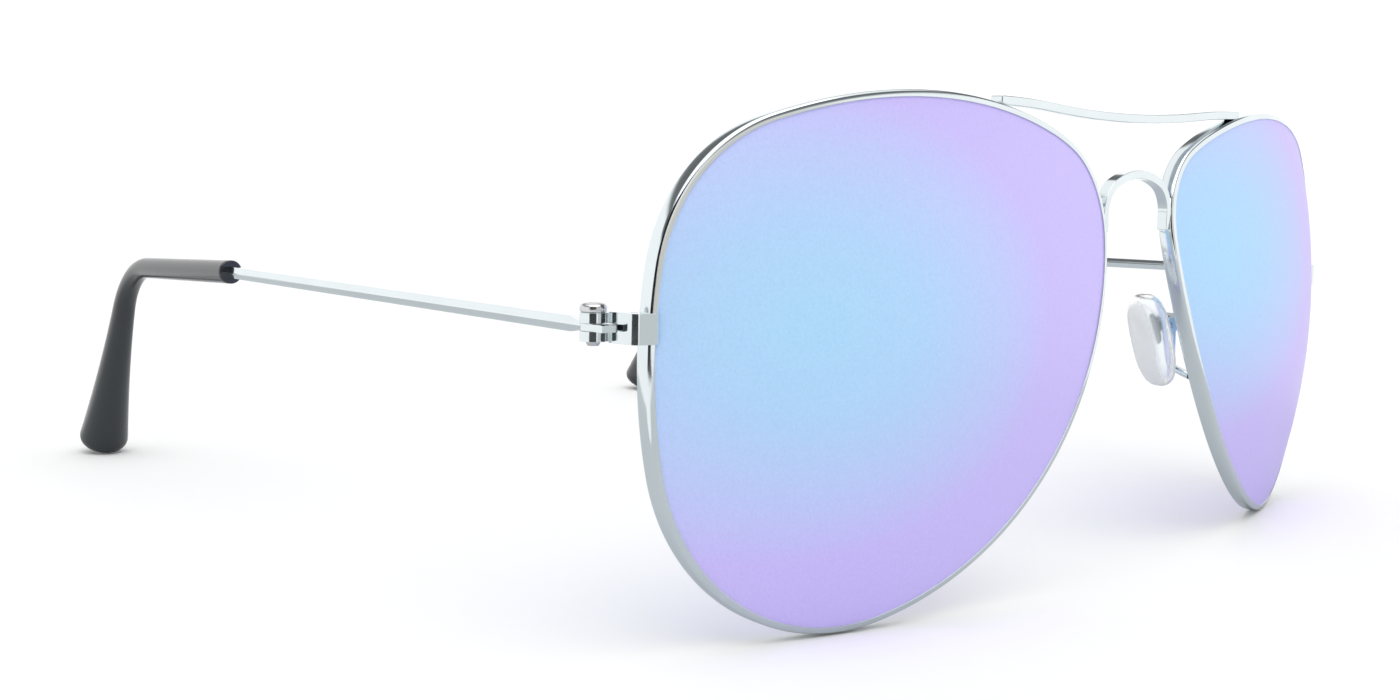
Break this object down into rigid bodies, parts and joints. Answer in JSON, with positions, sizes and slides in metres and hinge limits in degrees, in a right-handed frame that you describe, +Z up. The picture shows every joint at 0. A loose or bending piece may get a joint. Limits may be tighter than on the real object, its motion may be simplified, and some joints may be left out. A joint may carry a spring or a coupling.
{
  "type": "aviator sunglasses",
  "caption": "Wire-frame aviator sunglasses with mirrored teardrop lenses, double bridge, folding temples with hooked sleeve tips and rocking nose pads.",
  "frame": {"origin": "middle of the bounding box, on the surface that the rims and temple tips stand on", "axes": "+Z up, -Y the way the lenses face, +X the wearer's left"},
  "size_m": [0.1386, 0.1342, 0.0513],
  "materials": {
    "frame_metal": "polished silver plating",
    "mirror_lens": "opaque mirror coating, sky blue in the middle turning violet towards the edge",
    "tip_plastic": "satin black",
    "pad_silicone": "clear, smooth",
    "core_steel": "plain stamped steel",
    "screw_steel": "bright machined"
  },
  "bodies": {
    "front": {"bridge": "frame_metal", "brow_bar": "frame_metal", "rim_left": "frame_metal", "rim_right": "frame_metal", "lens_left": "mirror_lens", "lens_right": "mirror_lens", "endpiece_left": "frame_metal", "endpiece_right": "frame_metal", "rim_screw_left": "screw_steel", "rim_screw_right": "screw_steel", "closing_block_upper_left": "frame_metal", "closing_block_upper_right": "frame_metal", "closing_block_lower_left": "frame_metal", "closing_block_lower_right": "frame_metal", "hinge_screw_left": "screw_steel", "hinge_screw_right": "screw_steel", "pad_screw_left": "screw_steel", "pad_screw_right": "screw_steel", "pad_arm_left": "frame_metal", "pad_arm_right": "frame_metal"},
    "temple_arm_left": {"temple_left": "frame_metal", "temple_tip_left": "tip_plastic"},
    "pad_left": {"nose_pad_left": "pad_silicone", "pad_core_left": "core_steel"},
    "temple_arm_right": {"temple_right": "frame_metal", "temple_tip_right": "tip_plastic"},
    "pad_right": {"nose_pad_right": "pad_silicone", "pad_core_right": "core_steel"}
  },
  "joints": [
    {"name": "temple_fold_left", "type": "hinge", "parent": "front", "child": "temple_arm_left", "pos_m": [0.06808, -0.05112, 0.0296], "axis": [0, 0.0165, 0.9999], "range_deg": [0, 84]},
    {"name": "temple_fold_right", "type": "hinge", "parent": "front", "child": "temple_arm_right", "pos_m": [-0.06808, -0.05112, 0.0296], "axis": [0, -0.0165, -0.9999], "range_deg": [0, 80]},
    {"name": "pad_rock_left", "type": "hinge", "parent": "front", "child": "pad_left", "pos_m": [0.0115, -0.06249, 0.02634], "axis": [-0.2756, -0.9611, 0.0159], "range_deg": [-6, 6]},
    {"name": "pad_rock_right", "type": "hinge", "parent": "front", "child": "pad_right", "pos_m": [-0.0115, -0.06249, 0.02634], "axis": [-0.2756, 0.9611, -0.0159], "range_deg": [-6, 6]}
  ]
}
